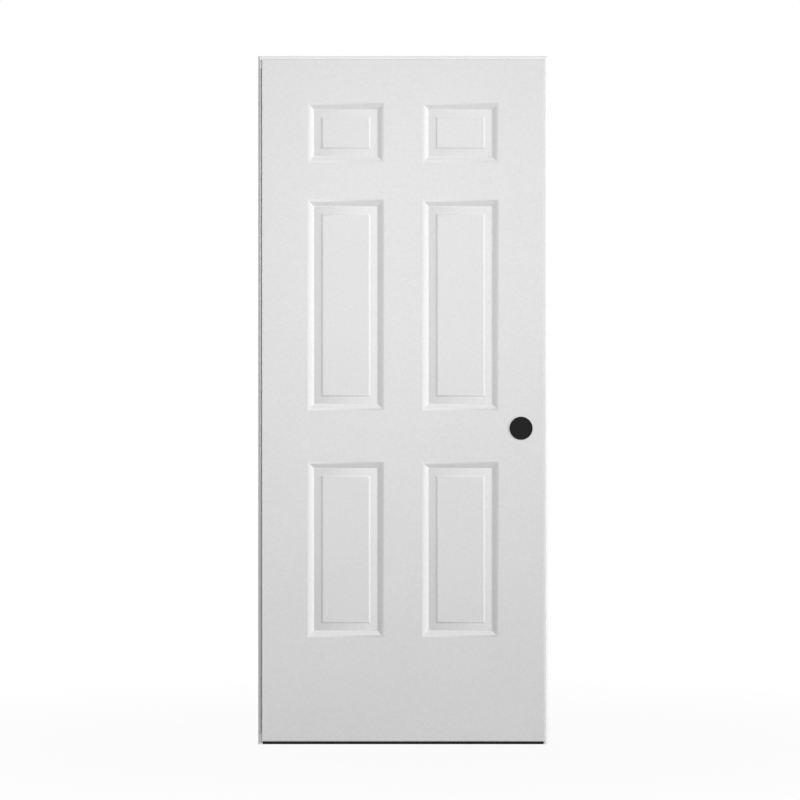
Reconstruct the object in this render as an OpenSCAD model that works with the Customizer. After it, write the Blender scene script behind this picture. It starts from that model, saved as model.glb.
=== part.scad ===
// Panelled front door in its frame: a steel-skinned leaf with six pressed panels, hung to open
// outwards on a continuous hinge in a slim hollow-section frame, with a dark sill and rubber seals.
// Millimetres, +Z up, outside face towards -Y, origin at the middle of the underside.

/* [Frame] */
// Width over the two side members
frame_w = 813; // [700:1:1000]
// Height from the underside of the sill to the top of the head
frame_h = 1930; // [1850:1:2300]
// Depth from front to back
frame_d = 104; // [90:1:150]
// Wall of the hollow sections
frame_wall = 2; // [1.6:0.1:3]
// Strip of frame left showing beside and above the leaf
reveal = 10; // [8:0.5:20]
// Strip of sill left showing below the leaf
sill_reveal = 8.5; // [8:0.5:25]
// How far the stop stands into the opening
stop_h = 14; // [12:0.5:20]
// Bevel along the outer front corner of the head and jambs
nose_bevel = 5.5; // [2:0.5:6.5]
// Chamfer on the other front corners of the sections
nose_chamfer = 1; // [0.4:0.1:1.5]
// Fall of the sill's front ledge towards the outside
sill_fall = 1.5; // [0.5:0.1:2.5]
// Bevel along the sill's back edge
sill_bevel = 5; // [2:0.5:8]
// Width of a groove in the sill's tread
tread_groove_w = 2.5; // [1.5:0.1:4]
// Depth of a groove in the sill's tread
tread_groove_d = 0.9; // [0.5:0.1:1.2]
// Distance from one tread groove to the next
tread_pitch = 6; // [5:0.5:10]

/* [Leaf] */
// Thickness of the leaf
leaf_t = 44.5; // [42:0.5:60]
// Sheet thickness of the two skins
skin_t = 0.8; // [0.6:0.1:1.2]
// Overhang of the lip that covers the gap to the frame
lip_w = 6; // [5:0.5:9]
// Thickness of the lip
lip_t = 8; // [6:0.5:9]
// Room between the back of the lip and the front of the frame
lip_gap = 3; // [2.8:0.1:5]
// Room round the leaf's body at the lock edge, top and bottom
edge_gap = 3; // [2:0.1:5]
// Room at the hinge edge, where the two hinge plates lie
hinge_gap = 4; // [3.4:0.1:6]
// Outside radius of the bends along the skins' edges
edge_r = 3; // [1.5:0.1:3.4]
// How far the outer skin turns back along the leaf's edges
outer_return = 20; // [14:0.5:22]
// How far the inner skin turns back along the leaf's edges
inner_return = 12; // [11:0.5:18]
// Width of the timber stiles and rails inside the leaf
timber_w = 60; // [45:1:80]
// Width of the timber block beside the lock
lock_block_w = 52; // [40:1:54]
// Height of the timber block beside the lock
lock_block_h = 300; // [200:5:400]

/* [Panels] */
// Width of each panel over its moulding
panel_w = 214; // [150:1:220]
// Width of the plain strip between the two columns of panels
mullion_w = 107; // [80:1:115]
// Plain strip above the top panels
top_rail_h = 123; // [90:1:150]
// Height of the top panels
top_panel_h = 167; // [120:1:180]
// Plain strip below the top panels
frieze_h = 104; // [70:1:120]
// Height of the middle panels
mid_panel_h = 590; // [450:1:600]
// Plain strip at lock height
lock_rail_h = 144; // [100:1:160]
// Plain strip below the lower panels
bottom_strip_h = 292.5; // [200:0.5:340]

/* [Moulding] */
// Width of the curved slope round a panel
slope_w = 17.5; // [12:0.5:20]
// Depth of the groove at the foot of the slope
groove_depth = 9; // [6:0.2:9.4]
// Width of the groove's flat floor
groove_w = 1.2; // [0.8:0.1:3]
// Width of the bevel that rises from the groove
bevel_w = 18; // [10:0.5:22]
// Rise of the bevel
bevel_rise = 4.2; // [2:0.1:4.6]
// Width of the small step between the bevel and the raised field
step_w = 7.3; // [4:0.1:10]
// Depth of the raised field below the leaf's face
field_depth = 1.5; // [0.6:0.1:1.8]

/* [Lock preparation] */
// Distance from the leaf's lock edge to the middle of the lock bore
backset = 60.3; // [60.3, 69.85]
// Height of the lock bore above the underside of the sill
lock_z = 886; // [800:1:1100]
// Diameter of the lock bore through the leaf
lock_bore_d = 54; // [50:0.5:56]
// Diameter of the latch bore in the leaf's edge
latch_bore_d = 25.4; // [22:0.1:25.4]
// Height of the recess for the latch's front plate
latch_plate_h = 57.2; // [50:0.1:64]
// Depth of the recess for the latch's front plate
latch_plate_t = 3.2; // [2.4:0.1:4]
// Height of the opening for the latch in the side of the frame
strike_h = 30; // [24:0.5:40]
// Width of the opening for the latch in the side of the frame
strike_w = 15; // [12:0.5:18]
// Distance between the two strike screw holes
strike_pitch = 41.3; // [38:0.1:60]
// Radius of a strike screw hole
strike_hole_r = 1.8; // [1.5:0.1:2.2]

/* [Bore covers] */
// Diameter of the flange that covers the lock bore
cover_d = 64.5; // [62:0.5:70]
// Thickness of the flange
cover_t = 2.5; // [2:0.1:4]
// Chamfer round the flange
cover_chamfer = 0.8; // [0.3:0.1:1.2]
// Length of the collar that centres a cover in the bore
collar_l = 7; // [5:0.5:9]
// Wall of the collar
collar_wall = 2.5; // [1.5:0.1:4]
// Play of the collar in the bore
collar_fit = 0.3; // [0.1:0.05:0.6]
// Radius of a screw post inside the outer cover
post_r = 4.5; // [4:0.1:6]
// Distance between the two screw posts
post_pitch = 34; // [28:0.5:36]
// Length of a screw post
post_l = 28; // [22:0.5:34]

/* [Hinge] */
// Thickness of the hinge plates
plate_t = 1.2; // [1:0.1:1.3]
// How far the hinge plates reach along the edges
plate_reach = 24; // [18:0.5:26]
// Outside radius of the knuckles
knuckle_r = 3.5; // [3:0.1:4]
// Radius of the hinge pin
pin_r = 1.5; // [1.2:0.1:1.8]
// Radial play of the pin in the knuckles
pin_fit = 0.05; // [0.02:0.01:0.1]
// Number of knuckles, counted on both plates together
knuckle_n = 37; // [21:2:61]
// Gap between one knuckle and the next
knuckle_gap = 0.6; // [0.4:0.1:1]
// Distance from the ends of the hinge to the ends of the leaf's body
hinge_end = 20; // [10:1:60]
// Number of screws in each plate
hinge_screw_n = 12; // [6:1:18]
// Distance from the front of the frame to the hinge screws
hinge_screw_v = 13; // [11:0.5:16]

/* [Screws] */
// Shank radius of the hinge and cover screws
screw_r = 1.9; // [1.5:0.1:2.2]
// Head radius of the hinge and cover screws
screw_head_r = 3.3; // [2.8:0.1:4]
// Play round a screw in the holes it passes
screw_fit = 0.1; // [0.05:0.05:0.2]
// Length of a screw in the frame's hinge plate
frame_screw_l = 9; // [6:0.5:10]
// Length of a screw in the leaf's hinge plate
leaf_screw_l = 25; // [16:0.5:35]
// Length of a screw that joins the two bore covers
cover_screw_l = 30; // [24:0.5:32]
// Shank radius of a screw that fastens the sill
sill_screw_r = 2.1; // [1.8:0.1:2.4]
// Head radius of a screw that fastens the sill
sill_screw_head_r = 4; // [3.5:0.1:4.4]
// Head height of a screw that fastens the sill
sill_screw_head_h = 2.5; // [2:0.1:3.5]
// Length of a screw that fastens the sill
sill_screw_l = 28; // [20:0.5:40]

/* [Wall fixing] */
// Number of wall screw holes in each side of the frame
fixing_n = 4; // [2:1:6]
// Distance from the ends of the frame to the nearest wall screw hole
fixing_end = 180; // [140:5:300]
// Distance from the front of the frame to the wall screw holes
fixing_v = 32; // [30.5:0.5:34]
// Radius of a wall screw hole
fixing_r = 2.75; // [2.2:0.05:3.2]
// Radius of the hole that lets a screw head through the inner wall
access_r = 5.5; // [4.5:0.1:6]

/* [Seals and corner keys] */
// Room between the back of the leaf and the stop, filled by the seal's bulb
seal_gap = 7; // [6:0.1:9]
// Play between the seal's bulb and what it closes on
seal_fit = 0.2; // [0.1:0.05:0.4]
// Wall of the seal's hollow bulb
seal_wall = 1.1; // [0.8:0.1:1.6]
// Distance from the edge of the stop to the middle of the seal
seal_inset = 5.5; // [4.6:0.1:6.5]
// Width of the slot that holds the seal's stem
slot_w = 2.6; // [2:0.1:3.2]
// Play of the stem in its slot
stem_fit = 0.15; // [0.1:0.05:0.3]
// Length of the barb behind the slot
barb_l = 2.6; // [2:0.1:4]
// How far the barb stands out to each side of the stem
barb_w = 0.9; // [0.5:0.1:1.4]
// Length of a corner key's arm
key_l = 70; // [50:1:110]
// Width of a corner key's arm
key_w = 12; // [8:0.5:16]
// Depth of a corner key from front to back
key_d = 32; // [20:1:40]
// Play of a corner key inside the sections
key_fit = 0.3; // [0.1:0.05:0.5]

/* [Hidden] */
$fn = 64;
overrun = 0.5;
// The slope of a panel's edge starts at this share of its mean fall and steepens towards the groove
slope_lead_share = 0.8;
slope_steps = 8;
step_steps = 6;
// Inside a bevelled corner the bevel starts later by this share of the wall
bevel_wall_share = tan(45 / 2);
foam_fit = 0.3;
port_wall = 3.9;
port_front_share = 0.36;
port_back_share = 0.68;

// Leaf face, leaf body and the frame's clear opening
leaf_x = frame_w / 2 - reveal;
leaf_z0 = sill_reveal;
leaf_z1 = frame_h - reveal;
nose_w = reveal + lip_w - edge_gap;
sill_nose = sill_reveal + lip_w - edge_gap;
section_w = nose_w + stop_h;
open_x = frame_w / 2 - nose_w;
body_x0 = -open_x + hinge_gap;
body_x1 = open_x - edge_gap;
body_z0 = leaf_z0 + lip_w;
body_z1 = leaf_z1 - lip_w;

// Depth planes, from the outside inwards
leaf_proud = lip_t + lip_gap;
depth = cover_t + leaf_proud + frame_d;
leaf_y0 = cover_t - depth / 2;
leaf_y1 = leaf_y0 + leaf_t;
frame_y = leaf_y0 + leaf_proud;
rebate_d = leaf_t - leaf_proud + seal_gap;

// Panel places, counted from the leaf's middle and ends; the lower panels take the height that is left
panel_xs = [-mullion_w / 2 - panel_w, mullion_w / 2];
top_z = leaf_z1 - top_rail_h - top_panel_h;
mid_z = top_z - frieze_h - mid_panel_h;
low_z = leaf_z0 + bottom_strip_h;
low_panel_h = mid_z - lock_rail_h - low_z;
panel_rows = [[top_z, top_panel_h], [mid_z, mid_panel_h], [low_z, low_panel_h]];

// Lock places
lock_x = body_x1 - backset;
lock_y = (leaf_y0 + leaf_y1) / 2;
lock_v = lock_y - frame_y;
lock_r = lock_bore_d / 2;
latch_r = latch_bore_d / 2;

// Timber inside the leaf, between the skins
timber_x0 = body_x0 + skin_t;
timber_x1 = body_x1 - skin_t;
timber_z0 = body_z0 + skin_t;
timber_z1 = body_z1 - skin_t;
timber_y0 = leaf_y0 + skin_t;
timber_y1 = leaf_y1 - skin_t;

// Hinge axis and spacing
axis_x = -leaf_x - knuckle_gap - knuckle_r;
axis_y = frame_y - knuckle_gap / 2 - knuckle_r;
hinge_z = body_z0 + hinge_end;
hinge_l = body_z1 - body_z0 - 2 * hinge_end;
knuckle_pitch = hinge_l / knuckle_n;
hinge_screw_pitch = hinge_l / hinge_screw_n;

// Seal, sill screw and wall fixing places
bulb_r = seal_gap / 2 - seal_fit;
seal_u = stop_h - seal_inset;
port_r = sill_screw_r + port_wall;
port_places = [[port_front_share * rebate_d, sill_nose / 2, nose_w],
               [port_back_share * frame_d, sill_nose / 2, section_w]];
fixing_zs = [for (i = [0:fixing_n - 1])
             fixing_end + i * (frame_h - 2 * fixing_end) / (fixing_n - 1)];

white = "whitesmoke";
frame_white = "white";
bronze = "dimgray";
steel = "silver";
timber = "burlywood";
rubber = "darkslategray";
black = "black";

// Box between two corners
module span(from, to) { translate(from) cube(to - from); }

// Swaps X and Z, which turns a bar along X into an upright
module upright() { mirror([1, 0, -1]) children(); }

// Runs a section along X: its first axis becomes depth and its second axis becomes Z
module run(length) { rotate([90, 0, 90]) linear_extrude(length) children(); }

// Points of half a panel outline followed by their mirror image across the width
function both_sides(half, width) =
    concat(half, [for (i = [len(half) - 1:-1:0]) [width - half[i][0], half[i][1]]]);

// Slope from the face down to the groove, steepening as it falls
slope_half = concat([[0, -overrun]], [for (i = [0:slope_steps]) let (s = i / slope_steps)
    [slope_w * s, groove_depth * (slope_lead_share * s + (1 - slope_lead_share) * s * s)]]);

// Bevel and rounded step from the groove up to the raised field
bevel_start = slope_w + groove_w;
bevel_end = bevel_start + bevel_w;
bevel_depth = groove_depth - bevel_rise;
field_half = concat(
    [[bevel_start, groove_depth + overrun], [bevel_start, groove_depth]],
    [for (i = [0:step_steps]) let (s = i / step_steps)
        [bevel_end + step_w * s, bevel_depth + (field_depth - bevel_depth) * s * s * (3 - 2 * s)]]);

// A mitred form over a panel: what the same half outline gives both across and up the panel
module mitred_form(half, w, h) {
    intersection() {
        linear_extrude(h) polygon(both_sides(half, w));
        upright() linear_extrude(w) polygon(both_sides(half, h));
    }
}

// Everything pressed in below the leaf's face, over all the panels
module panel_pressings() {
    for (x = panel_xs, row = panel_rows)
        translate([x, 0, row[0]])
            difference() {
                mitred_form(slope_half, panel_w, row[1]);
                mitred_form(field_half, panel_w, row[1]);
            }
}

// Rectangle whose two front corners are rounded
module round_front(w, d, r) {
    translate([r, 0]) square([w - 2 * r, d]);
    translate([0, r]) square([w, d - r]);
    for (x = [r, w - r]) translate([x, r]) circle(r);
}

// Pan with rounded front edges, from one corner to the other
module pan(from, to, r) {
    size = to - from;
    translate(from)
        intersection() {
            linear_extrude(size[2]) round_front(size[0], size[1], r);
            upright() linear_extrude(size[0]) round_front(size[2], size[1], r);
        }
}

// Form of the outer skin: the lipped face and the body behind it, drawn in by an inset
module outer_form(inset, back) {
    difference() {
        union() {
            pan([-leaf_x + inset, inset, leaf_z0 + inset],
                [leaf_x - inset, lip_t - inset, leaf_z1 - inset], edge_r - inset);
            span([body_x0 + inset, lip_t / 2, body_z0 + inset],
                 [body_x1 - inset, back, body_z1 - inset]);
        }
        translate([0, inset, 0]) panel_pressings();
    }
}

// Form of the inner skin: a pan over the body, drawn in by an inset
module inner_form(inset, back) {
    difference() {
        pan([body_x0 + inset, inset, body_z0 + inset],
            [body_x1 - inset, back, body_z1 - inset], edge_r - inset);
        translate([0, inset, 0]) panel_pressings();
    }
}

// Puts the inner skin's form on the leaf's back
module on_leaf_back() { translate([0, leaf_y1, 0]) mirror([0, 1, 0]) children(); }

// Bore for the lock, through the whole leaf
module lock_bore() {
    translate([lock_x, leaf_y0 - overrun, lock_z]) rotate([-90, 0, 0])
        cylinder(r = lock_r, h = leaf_t + 2 * overrun);
}

// Bore for the latch and the recess for its front plate, in the leaf's lock edge
module latch_cut() {
    translate([lock_x, lock_y, lock_z]) rotate([0, 90, 0])
        cylinder(r = latch_r, h = backset + overrun);
    span([timber_x1 - latch_plate_t, lock_y - latch_r, lock_z - latch_plate_h / 2],
         [body_x1 + overrun, lock_y + latch_r, lock_z + latch_plate_h / 2]);
}

// Countersunk screw from its head inwards; the fit widens it into the hole it needs
module countersunk(length, head_h, fit = 0) {
    cylinder(r1 = screw_head_r + fit, r2 = screw_r + fit, h = head_h);
    cylinder(r = screw_r + fit, h = length);
    if (fit > 0) translate([0, 0, -overrun]) cylinder(r = screw_head_r + fit, h = overrun);
}

// Places for the hinge screws, pointing into the frame
module at_frame_screws() {
    for (i = [0:hinge_screw_n - 1])
        translate([-open_x + plate_t, frame_y + hinge_screw_v, hinge_z + (i + 0.5) * hinge_screw_pitch])
            rotate([0, -90, 0]) children();
}

// Places for the hinge screws, pointing into the leaf
module at_leaf_screws() {
    for (i = [1:hinge_screw_n - 1])
        translate([body_x0 - plate_t, frame_y + hinge_screw_v, hinge_z + i * hinge_screw_pitch])
            rotate([0, 90, 0]) children();
}

// Places for the screws that join the bore covers, pointing out from the inner cover
module at_cover_screws() {
    for (side = [-1, 1])
        translate([lock_x, leaf_y1 + cover_t, lock_z + side * post_pitch / 2])
            rotate([90, 0, 0]) children();
}

// Hollow stepped section of the head and jambs: depth, then distance in from the outside
module frame_section() {
    b = nose_bevel;
    c = nose_chamfer;
    w = frame_wall;
    inner_b = b + w * bevel_wall_share;
    difference() {
        polygon([[b, 0], [frame_d, 0], [frame_d, section_w], [rebate_d, section_w],
                 [rebate_d, nose_w], [c, nose_w], [0, nose_w - c], [0, b]]);
        polygon([[inner_b, w], [frame_d - w, w], [frame_d - w, section_w - w], [rebate_d + w, section_w - w],
                 [rebate_d + w, nose_w - w], [w, nose_w - w], [w, inner_b]]);
        seal_slot(nose_w);
    }
}

// Slot through the stop's front wall for the seal's stem
module seal_slot(nose) {
    translate([rebate_d - overrun, nose + seal_u - slot_w / 2])
        square([frame_wall + 2 * overrun, slot_w]);
}

// Hollow section of the sill: ledge, stop, grooved tread and ports for its end screws
module sill_section() {
    c = nose_chamfer;
    w = frame_wall;
    top = sill_nose + stop_h;
    first = rebate_d + tread_pitch;
    last = frame_d - sill_bevel - tread_pitch;
    difference() {
        polygon([[c, 0], [frame_d, 0], [frame_d, top - sill_bevel], [frame_d - sill_bevel, top],
                 [rebate_d, top], [rebate_d, sill_nose], [c, sill_nose - sill_fall],
                 [0, sill_nose - sill_fall - c], [0, c]]);
        difference() {
            polygon([[w, w], [frame_d - w, w], [frame_d - w, top - sill_bevel - w],
                     [frame_d - sill_bevel - w, top - w], [rebate_d + w, top - w],
                     [rebate_d + w, sill_nose - w], [w, sill_nose - sill_fall - w]]);
            for (p = port_places) translate([p[0], p[1]]) circle(port_r);
            for (p = port_places) translate([p[0] - w / 2, w / 2]) square([w, p[1]]);
        }
        for (p = port_places) translate([p[0], p[1]]) circle(sill_screw_r + screw_fit);
        for (v = [first:tread_pitch:last])
            translate([v - tread_groove_w / 2, top - tread_groove_d])
                square([tread_groove_w, tread_groove_d + overrun]);
        seal_slot(sill_nose);
    }
}

// Section of a seal: hollow bulb, stem and barb
module seal_section(nose) {
    stem_w = slot_w - 2 * stem_fit;
    neck = rebate_d + frame_wall + stem_fit;
    translate([0, nose + seal_u]) {
        difference() {
            translate([rebate_d - bulb_r - seal_fit / 2, 0]) circle(bulb_r);
            translate([rebate_d - bulb_r - seal_fit / 2, 0]) circle(bulb_r - seal_wall);
        }
        translate([rebate_d - seal_wall, -stem_w / 2])
            square([frame_wall + seal_wall + barb_l / 2, stem_w]);
        polygon([[neck, -stem_w / 2 - barb_w], [neck + barb_l, -stem_w / 4],
                 [neck + barb_l, stem_w / 4], [neck, stem_w / 2 + barb_w]]);
    }
}

// Bar along X between mitred or square ends, starting at a distance from the corner
module bar(length, mitre_start, mitre_end, start = 0) {
    reach = section_w + overrun;
    intersection() {
        translate([start, 0, 0]) run(length - start) children();
        translate([0, frame_d + overrun, 0]) rotate([90, 0, 0]) linear_extrude(frame_d + 2 * overrun)
            polygon([[-overrun, -overrun], [length + overrun, -overrun],
                     [length + (mitre_end ? -reach : overrun), reach],
                     [mitre_start ? reach : -overrun, reach]]);
    }
}

// Places for bars of the frame, each drawn along X with its outside at zero
module at_head() { translate([-frame_w / 2, frame_y, frame_h]) mirror([0, 0, 1]) children(); }
module at_hinge_side() { translate([-frame_w / 2, frame_y, 0]) upright() children(); }
module at_strike_side() { mirror([1, 0, 0]) at_hinge_side() children(); }

// Holes that both jambs have: wall fixings and the sill's end screws
module jamb_holes() {
    for (z = fixing_zs) translate([z, fixing_v, 0]) {
        translate([0, 0, -overrun]) cylinder(r = fixing_r, h = frame_wall + 2 * overrun);
        translate([0, 0, nose_w - frame_wall - overrun])
            cylinder(r = access_r, h = frame_wall + 2 * overrun);
    }
    for (p = port_places) translate([p[1], p[0], 0]) {
        translate([0, 0, -overrun])
            cylinder(r = sill_screw_head_r + 2 * screw_fit, h = frame_wall + 2 * overrun);
        translate([0, 0, p[2] - frame_wall - overrun])
            cylinder(r = sill_screw_r + screw_fit, h = frame_wall + 2 * overrun);
    }
}

module jamb_bar() {
    difference() {
        bar(frame_h, false, true) frame_section();
        jamb_holes();
    }
}

module head() { color(frame_white) at_head() bar(frame_w, true, true) frame_section(); }

module hinge_jamb() {
    color(frame_white) difference() {
        at_hinge_side() jamb_bar();
        at_frame_screws() countersunk(frame_screw_l + overrun, plate_t, screw_fit);
    }
}

module strike_jamb() {
    color(frame_white) difference() {
        at_strike_side() jamb_bar();
        span([open_x - overrun, frame_y + lock_v - strike_w / 2, lock_z - strike_h / 2],
             [open_x + frame_wall + overrun, frame_y + lock_v + strike_w / 2, lock_z + strike_h / 2]);
        for (side = [-1, 1])
            translate([open_x - overrun, frame_y + lock_v, lock_z + side * strike_pitch / 2])
                rotate([0, 90, 0]) cylinder(r = strike_hole_r, h = frame_wall + 2 * overrun);
    }
}

module sill() {
    color(bronze) translate([0, frame_y, 0]) difference() {
        translate([-open_x, 0, 0]) run(2 * open_x) sill_section();
        for (side = [0, 1]) mirror([side, 0, 0])
            span([open_x - stop_h, rebate_d, -overrun],
                 [open_x + overrun, frame_d + overrun, sill_nose + stop_h + overrun]);
    }
}

// Angle that joins head and jamb inside their hollow sections
module corner_key() {
    inset = frame_wall + key_fit;
    color(steel) translate([-frame_w / 2 + inset, frame_y + frame_d - inset - key_d, frame_h - inset])
        rotate([-90, 0, 0]) linear_extrude(key_d)
            polygon([[0, 0], [key_l, 0], [key_l, key_w], [key_w, key_w], [key_w, key_l], [0, key_l]]);
}

module corner_key_hinge() { corner_key(); }
module corner_key_strike() { mirror([1, 0, 0]) corner_key(); }

module sill_screws() {
    color(steel) for (side = [0, 1], p = port_places) mirror([side, 0, 0])
        translate([-frame_w / 2 + p[2] - frame_wall, frame_y + p[0], p[1]]) rotate([0, 90, 0]) {
            cylinder(r = sill_screw_r, h = sill_screw_l);
            translate([0, 0, -sill_screw_head_h]) cylinder(r = sill_screw_head_r, h = sill_screw_head_h);
        }
}

module seal_head() { color(rubber) at_head() bar(frame_w, true, true) seal_section(nose_w); }

module seal_side() { color(rubber) bar(frame_h, false, true, sill_nose + seal_fit) seal_section(nose_w); }

module seal_hinge() { at_hinge_side() seal_side(); }
module seal_strike() { at_strike_side() seal_side(); }

module seal_sill() {
    half = open_x - stop_h;
    color(rubber) translate([-half, frame_y, 0]) run(2 * half) seal_section(sill_nose);
}

// Section of a hinge plate: knuckle, strip behind the lip and strip along the edge
module plate_section(strip_y, edge_x, edge_end) {
    difference() {
        union() {
            translate([axis_x, axis_y]) circle(knuckle_r);
            translate([axis_x, strip_y]) square([edge_end - axis_x, plate_t]);
            translate([edge_x, strip_y]) square([plate_t, frame_y + plate_reach - strip_y]);
        }
        translate([axis_x, axis_y]) circle(pin_r + pin_fit);
    }
}

// Hinge plate along its section, cut away where the other plate's knuckles turn
module hinge_plate(first_cut) {
    difference() {
        translate([0, 0, hinge_z]) linear_extrude(hinge_l) children();
        for (i = [first_cut:2:knuckle_n - 1]) {
            low = hinge_z + i * knuckle_pitch - (i == 0 ? overrun : knuckle_gap / 2);
            high = hinge_z + (i + 1) * knuckle_pitch + (i == knuckle_n - 1 ? overrun : knuckle_gap / 2);
            span([axis_x - knuckle_r - overrun, axis_y - knuckle_r - overrun, low],
                 [axis_x + knuckle_r + knuckle_gap, frame_y + overrun, high]);
        }
    }
}

module hinge_frame_plate() {
    color(steel) difference() {
        hinge_plate(1) plate_section(frame_y - plate_t, -open_x, -open_x + plate_t);
        at_frame_screws() countersunk(frame_screw_l, plate_t, screw_fit);
    }
}

module hinge_leaf_plate() {
    color(steel) difference() {
        hinge_plate(0) plate_section(frame_y - lip_gap, body_x0 - plate_t, body_x0);
        at_leaf_screws() countersunk(leaf_screw_l, plate_t, screw_fit);
    }
}

module hinge_pin() {
    color(steel) translate([axis_x, axis_y, hinge_z]) cylinder(r = pin_r, h = hinge_l);
}

module hinge_frame_screws() { color(steel) at_frame_screws() countersunk(frame_screw_l, plate_t); }

module hinge_leaf_screws() { color(steel) at_leaf_screws() countersunk(leaf_screw_l, plate_t); }

module outer_skin() {
    color(white) difference() {
        translate([0, leaf_y0, 0]) difference() {
            outer_form(0, outer_return);
            outer_form(skin_t, outer_return + overrun);
        }
        lock_bore();
        latch_cut();
        at_leaf_screws() countersunk(leaf_screw_l, plate_t, screw_fit);
    }
}

module inner_skin() {
    color(white) difference() {
        on_leaf_back() difference() {
            inner_form(0, inner_return);
            inner_form(skin_t, inner_return + overrun);
        }
        lock_bore();
        latch_cut();
    }
}

// Length of the timber between two corners: a body with a tongue that fills the outer skin's lip, both
// rounded to clear the skins' bends
module timber_bar(from, to) {
    intersection() {
        span(from, to);
        union() {
            on_leaf_back()
                pan([timber_x0, skin_t, timber_z0], [timber_x1, leaf_t - lip_t, timber_z1], edge_r);
            translate([0, leaf_y0, 0])
                pan([-leaf_x + skin_t, skin_t, leaf_z0 + skin_t],
                    [leaf_x - skin_t, lip_t - skin_t, leaf_z1 - skin_t], edge_r);
            span([timber_x0, leaf_y0 + lip_t / 2, timber_z0], [timber_x1, leaf_y0 + 2 * lip_t, timber_z1]);
        }
    }
}

module hinge_stile() {
    color(timber) difference() {
        timber_bar([-leaf_x, leaf_y0, leaf_z0], [timber_x0 + timber_w, leaf_y1, leaf_z1]);
        at_leaf_screws() countersunk(leaf_screw_l, plate_t, screw_fit);
    }
}

module lock_stile() {
    color(timber) difference() {
        timber_bar([timber_x1 - timber_w, leaf_y0, leaf_z0], [leaf_x, leaf_y1, leaf_z1]);
        lock_bore();
        latch_cut();
    }
}

module rail(from_z, to_z) {
    color(timber) timber_bar([timber_x0 + timber_w, leaf_y0, from_z], [timber_x1 - timber_w, leaf_y1, to_z]);
}

module top_rail() { rail(timber_z1 - timber_w, leaf_z1); }
module bottom_rail() { rail(leaf_z0, timber_z0 + timber_w); }

module lock_block() {
    color(timber) difference() {
        span([timber_x1 - timber_w - lock_block_w, timber_y0, lock_z - lock_block_h / 2],
             [timber_x1 - timber_w, timber_y1, lock_z + lock_block_h / 2]);
        lock_bore();
        latch_cut();
    }
}

module foam_core() {
    f = foam_fit;
    color("gainsboro") difference() {
        span([timber_x0 + timber_w + f, timber_y0 + f, timber_z0 + timber_w + f],
             [timber_x1 - timber_w - f, timber_y1 - f, timber_z1 - timber_w - f]);
        translate([0, timber_y0 + f, 0]) panel_pressings();
        translate([0, timber_y1 - f, 0]) mirror([0, 1, 0]) panel_pressings();
        span([timber_x1 - timber_w - lock_block_w - f, timber_y0, lock_z - lock_block_h / 2 - f],
             [timber_x1 - timber_w, timber_y1, lock_z + lock_block_h / 2 + f]);
    }
}

// Flange and centring collar of a bore cover, drawn from its face inwards
module bore_cover() {
    r = cover_d / 2;
    collar_r = lock_r - collar_fit;
    rotate_extrude()
        polygon([[0, 0], [r - cover_chamfer, 0], [r, cover_chamfer], [r, cover_t], [collar_r, cover_t],
                 [collar_r, cover_t + collar_l], [collar_r - collar_wall, cover_t + collar_l],
                 [collar_r - collar_wall, cover_t], [0, cover_t]]);
}

module bore_cover_outer() {
    color(black) difference() {
        translate([lock_x, leaf_y0 - cover_t, lock_z]) rotate([-90, 0, 0]) {
            bore_cover();
            for (side = [-1, 1]) translate([0, side * post_pitch / 2, cover_t / 2])
                cylinder(r = post_r, h = post_l);
        }
        at_cover_screws() countersunk(cover_screw_l + overrun, cover_t, screw_fit);
    }
}

module bore_cover_inner() {
    color(black) difference() {
        translate([lock_x, leaf_y1 + cover_t, lock_z]) rotate([90, 0, 0]) bore_cover();
        at_cover_screws() countersunk(cover_screw_l, cover_t, screw_fit);
    }
}

module bore_cover_screws() { color(steel) at_cover_screws() countersunk(cover_screw_l, cover_t); }

head();
hinge_jamb();
strike_jamb();
sill();
corner_key_hinge();
corner_key_strike();
sill_screws();
seal_head();
seal_hinge();
seal_strike();
seal_sill();
hinge_frame_plate();
hinge_pin();
hinge_frame_screws();
outer_skin();
inner_skin();
hinge_stile();
lock_stile();
top_rail();
bottom_rail();
lock_block();
foam_core();
hinge_leaf_plate();
hinge_leaf_screws();
bore_cover_outer();
bore_cover_inner();
bore_cover_screws();
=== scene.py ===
# %% [markdown]
# # A panelled front door in its frame
#
# The real object is a ready-made door unit. A steel leaf with six pressed panels hangs on one
# long hinge in a slim metal frame, with a dark sill below and rubber seals behind. The CAD model
# gives every place and size, so it is loaded first and nothing in it is ever moved. Pieces that
# need softer bends or finer detail than CAD solids have are modelled here and stand in for them.

# %% Load the CAD frame and keep its box
import math

import bpy
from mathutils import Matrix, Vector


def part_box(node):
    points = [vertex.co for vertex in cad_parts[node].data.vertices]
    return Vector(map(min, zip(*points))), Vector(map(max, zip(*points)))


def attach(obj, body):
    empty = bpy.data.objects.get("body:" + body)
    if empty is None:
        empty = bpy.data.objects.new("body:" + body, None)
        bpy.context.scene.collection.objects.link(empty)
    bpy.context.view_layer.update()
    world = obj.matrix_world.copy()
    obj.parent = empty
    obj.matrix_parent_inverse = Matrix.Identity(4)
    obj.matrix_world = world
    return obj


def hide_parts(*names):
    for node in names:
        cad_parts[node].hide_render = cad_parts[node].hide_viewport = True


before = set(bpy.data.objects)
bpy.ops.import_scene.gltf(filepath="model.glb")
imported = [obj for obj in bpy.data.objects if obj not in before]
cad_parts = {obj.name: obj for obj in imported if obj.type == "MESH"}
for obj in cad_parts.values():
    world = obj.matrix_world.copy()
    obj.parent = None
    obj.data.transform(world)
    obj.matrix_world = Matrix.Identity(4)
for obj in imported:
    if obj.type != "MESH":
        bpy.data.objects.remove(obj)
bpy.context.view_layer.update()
MM, QUARTER = 0.001, math.pi / 2

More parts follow.
